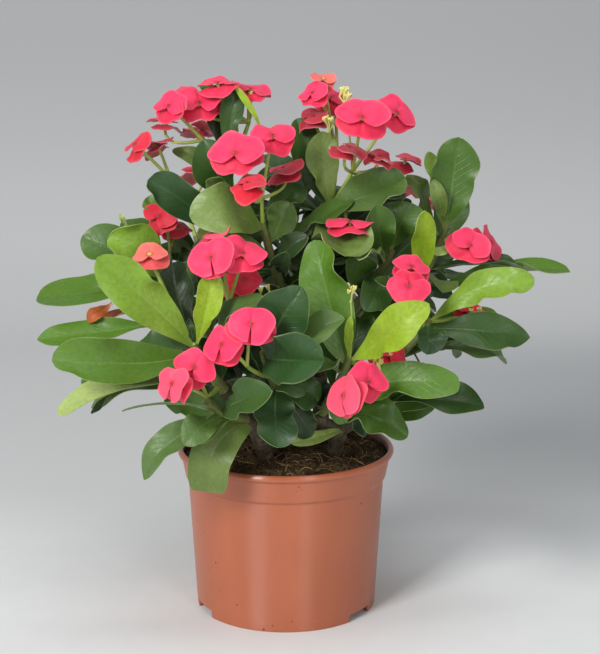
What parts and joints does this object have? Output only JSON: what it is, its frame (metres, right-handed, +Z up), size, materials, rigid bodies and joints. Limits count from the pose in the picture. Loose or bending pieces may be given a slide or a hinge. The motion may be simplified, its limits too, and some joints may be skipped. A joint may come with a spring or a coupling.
{
  "type": "potted euphorbia",
  "caption": "Flowering crown-of-thorns plant with woody spined stems, leafy shoots and paired red bracts, growing in soil in a round plastic nursery pot that stands on a flat base.",
  "frame": {"origin": "middle of the pot's underside, on the ground", "axes": "+Z up along the pot's axis; the picture looks along +Y and a little down, so -Y is the front and +X is the right of the picture"},
  "size_m": [0.3169, 0.2368, 0.3173],
  "materials": {
    "pot_plastic": "terracotta-coloured moulded plastic, satin",
    "potting_soil": null,
    "bark": "grey-brown bark, matt",
    "leaf_green": null,
    "bract_red": null
  },
  "bodies": {
    "root": {"bloom_a1": "bract_red", "bloom_a2": "bract_red", "bloom_a3": "bract_red", "bloom_a4": "bract_red", "bloom_a5": "bract_red", "bloom_a6": "bract_red", "bloom_b1": "bract_red", "bloom_b2": "bract_red", "bloom_b3": "bract_red", "bloom_b4": "bract_red", "bloom_c1": "bract_red", "bloom_c2": "bract_red", "bloom_c3": "bract_red", "bloom_c4": "bract_red", "bloom_c5": "bract_red", "bloom_d1": "bract_red", "bloom_d2": "bract_red", "bloom_e1": "bract_red", "bloom_f1": "bract_red", "bloom_f2": "bract_red", "bloom_f3": "bract_red", "bloom_g1": "bract_red", "bloom_g2": "bract_red", "bloom_h1": "bract_red", "bloom_h2": "bract_red", "bloom_i1": "bract_red", "bloom_i2": "bract_red", "bloom_j1": "bract_red", "bloom_j2": "bract_red", "bloom_k1": "bract_red", "bloom_k2": "bract_red", "bloom_l1": "bract_red", "bloom_m1": "bract_red", "bloom_n1": "bract_red", "bloom_o1": "bract_red", "bloom_o2": "bract_red", "bloom_p1": "bract_red", "bloom_p2": "bract_red", "cane_back": "bark", "cane_front_left": "bark", "cane_left": "bark", "cane_middle": "bark", "cane_right": "bark", "pot": "pot_plastic", "shoot_back": "leaf_green", "shoot_back_left": "leaf_green", "shoot_back_right": "leaf_green", "shoot_centre": "leaf_green", "shoot_front": "leaf_green", "shoot_front_right": "leaf_green", "shoot_left": "leaf_green", "shoot_left_back": "leaf_green", "shoot_low_left": "leaf_green", "shoot_low_right": "leaf_green", "shoot_mid_right": "leaf_green", "shoot_right": "leaf_green", "shoot_right_low": "leaf_green", "shoot_top": "leaf_green", "shoot_top_left": "leaf_green", "soil": "potting_soil"}
  },
  "joints": []
}
